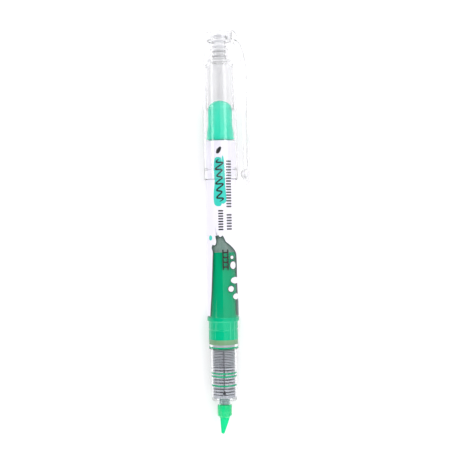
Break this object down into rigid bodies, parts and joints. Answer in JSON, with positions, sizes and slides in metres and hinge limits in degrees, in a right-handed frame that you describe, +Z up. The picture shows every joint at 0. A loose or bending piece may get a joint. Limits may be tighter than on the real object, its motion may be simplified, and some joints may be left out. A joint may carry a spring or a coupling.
{
  "type": "highlighter",
  "caption": "Liquid-ink highlighter with a chisel nib, clear comb feeder section, see-through ink tank and a clear clip cap posted on its tail.",
  "frame": {"origin": "on the surface the pen lies on, under the middle of its outer box", "axes": "+Y along the pen's axis from the nib toward the tail, +Z up from the surface it lies on, +X to the side that the clip is on"},
  "size_m": [0.0174, 0.1532, 0.0124],
  "materials": {
    "nib": "porous fibre, soaked in ink, matt",
    "nib_holder": "clear, tinted by the ink inside",
    "feeder": "satin grey moulding",
    "feed_wick": "fibre rod, wet with ink",
    "ink_rings": "wet ink",
    "section": "clear, polished",
    "tank_seal": "satin tan",
    "barrel": "clear, polished",
    "ink": "liquid",
    "label_film": "printed film, smooth",
    "tail_plug": "translucent mint, satin",
    "inner_cap": "frosted clear",
    "cap": "clear, polished"
  },
  "bodies": {
    "pen": {"nib": "nib", "nib_holder": "nib_holder", "feeder": "feeder", "feed_wick": "feed_wick", "ink_rings": "ink_rings", "section": "section", "tank_seal": "tank_seal", "barrel": "barrel", "ink": "ink", "label_film": "label_film", "tail_plug": "tail_plug"},
    "inner_cap": {"inner_cap": "inner_cap"},
    "cap": {"cap_tube": "cap", "clip_crown": "cap"},
    "clip": {"clip_arm": "cap"}
  },
  "joints": [
    {"name": "cap_pull", "type": "slide", "parent": "pen", "child": "inner_cap", "axis": [0, 1, 0], "range_m": [0, 0.04]},
    {"name": "cap_twist", "type": "hinge", "parent": "inner_cap", "child": "cap", "pos_m": [-0.00249, 0.0629, 0.00622], "axis": [0, 1, 0], "continuous": true},
    {"name": "clip_flex", "type": "hinge", "parent": "cap", "child": "clip", "pos_m": [0.00785, 0.0573, 0.00224], "axis": [0.3599, 0, 0.933], "range_deg": [0, 3], "stiffness_Nm_per_rad": 3}
  ]
}
